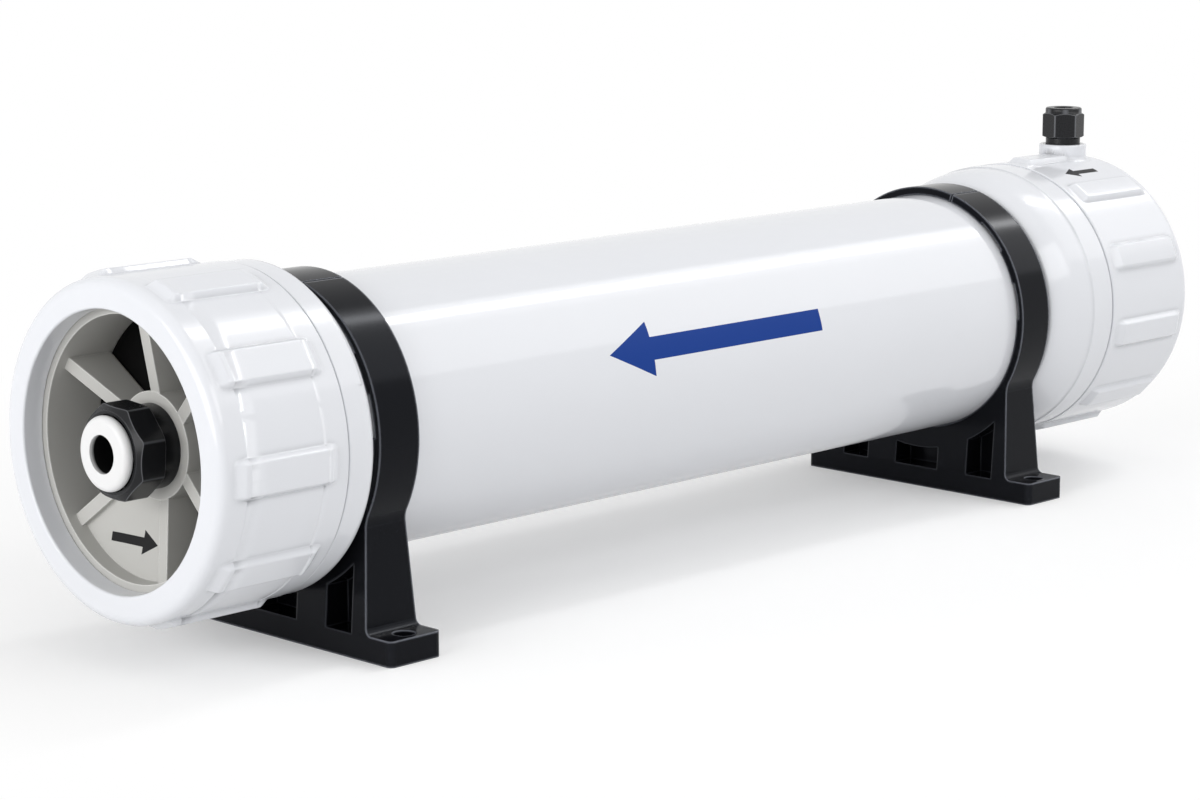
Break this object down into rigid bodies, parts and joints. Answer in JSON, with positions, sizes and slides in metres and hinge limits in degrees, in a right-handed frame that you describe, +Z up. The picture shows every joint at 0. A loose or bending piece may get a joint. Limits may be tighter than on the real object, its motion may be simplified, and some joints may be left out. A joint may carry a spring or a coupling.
{
  "type": "membrane pressure vessel",
  "caption": "Cylindrical plastic pressure vessel for a spiral-wound water membrane, with a screwed ring nut and spoked plug, a screw cap with side port, and hoop brackets with bolted feet.",
  "frame": {"origin": "centre of the four foot holes, on the floor", "axes": "+X along the vessel from outlet to inlet, +Z up"},
  "size_m": [0.6328, 0.14, 0.1806],
  "materials": {
    "white_shell": "glossy moulded white",
    "plug_grey": "satin warm light grey",
    "bracket_black": "satin black",
    "fitting_black": "satin charcoal black",
    "collet_white": "matte white",
    "seal_rubber": "matte black"
  },
  "bodies": {
    "vessel": {"pressure_tube": "white_shell", "outlet_socket": "white_shell", "inlet_socket": "white_shell", "outlet_bracket": "bracket_black", "inlet_bracket": "bracket_black"},
    "plug": {"outlet_end_plug": "plug_grey", "seal_plate": "seal_rubber", "plate_front_o_ring": "seal_rubber", "plate_rear_o_ring": "seal_rubber", "permeate_adapter": "collet_white", "adapter_front_o_ring": "seal_rubber", "adapter_rear_o_ring": "seal_rubber", "outlet_fitting_body": "fitting_black", "outlet_tube_o_ring": "seal_rubber"},
    "ring_nut": {"outlet_ring_nut": "white_shell"},
    "lock_nut": {"outlet_lock_nut": "fitting_black"},
    "collet": {"outlet_collet": "collet_white"},
    "cap_gasket": {"inlet_gasket": "seal_rubber"},
    "cap": {"inlet_cap": "white_shell", "inlet_fitting_body": "fitting_black", "inlet_port_o_ring": "seal_rubber"},
    "ferrule": {"inlet_ferrule": "collet_white"},
    "compression_nut": {"inlet_compression_nut": "fitting_black"}
  },
  "joints": [
    {"name": "plug_draw", "type": "slide", "parent": "vessel", "child": "plug", "axis": [-1, 0, 0], "range_m": [0, 0.02]},
    {"name": "ring_nut_turn", "type": "hinge", "parent": "plug", "child": "ring_nut", "pos_m": [-0.3, 0, 0.0875], "axis": [-1, 0, 0], "range_deg": [0, 1440]},
    {"name": "lock_nut_turn", "type": "hinge", "parent": "plug", "child": "lock_nut", "pos_m": [-0.3, 0, 0.0875], "axis": [-1, 0, 0], "range_deg": [0, 90]},
    {"name": "collet_push", "type": "slide", "parent": "plug", "child": "collet", "axis": [1, 0, 0], "range_m": [0, 0.002]},
    {"name": "gasket_draw", "type": "slide", "parent": "vessel", "child": "cap_gasket", "axis": [1, 0, 0], "range_m": [0, 0.02]},
    {"name": "cap_turn", "type": "hinge", "parent": "cap_gasket", "child": "cap", "pos_m": [0.3, 0, 0.0875], "axis": [1, 0, 0], "range_deg": [0, 1440]},
    {"name": "ferrule_draw", "type": "slide", "parent": "cap", "child": "ferrule", "axis": [0, 0, 1], "range_m": [0, 0.009]},
    {"name": "compression_nut_turn", "type": "hinge", "parent": "ferrule", "child": "compression_nut", "pos_m": [0.3097, 0, 0.175], "axis": [0, 0, 1], "range_deg": [0, 2160]}
  ],
  "couplings": [
    {"joint": "plug_draw", "follows": "ring_nut_turn", "m_per_rad": 0.00079577},
    {"joint": "gasket_draw", "follows": "cap_turn", "m_per_rad": 0.00079577},
    {"joint": "ferrule_draw", "follows": "compression_nut_turn", "m_per_rad": 0.00023873}
  ]
}
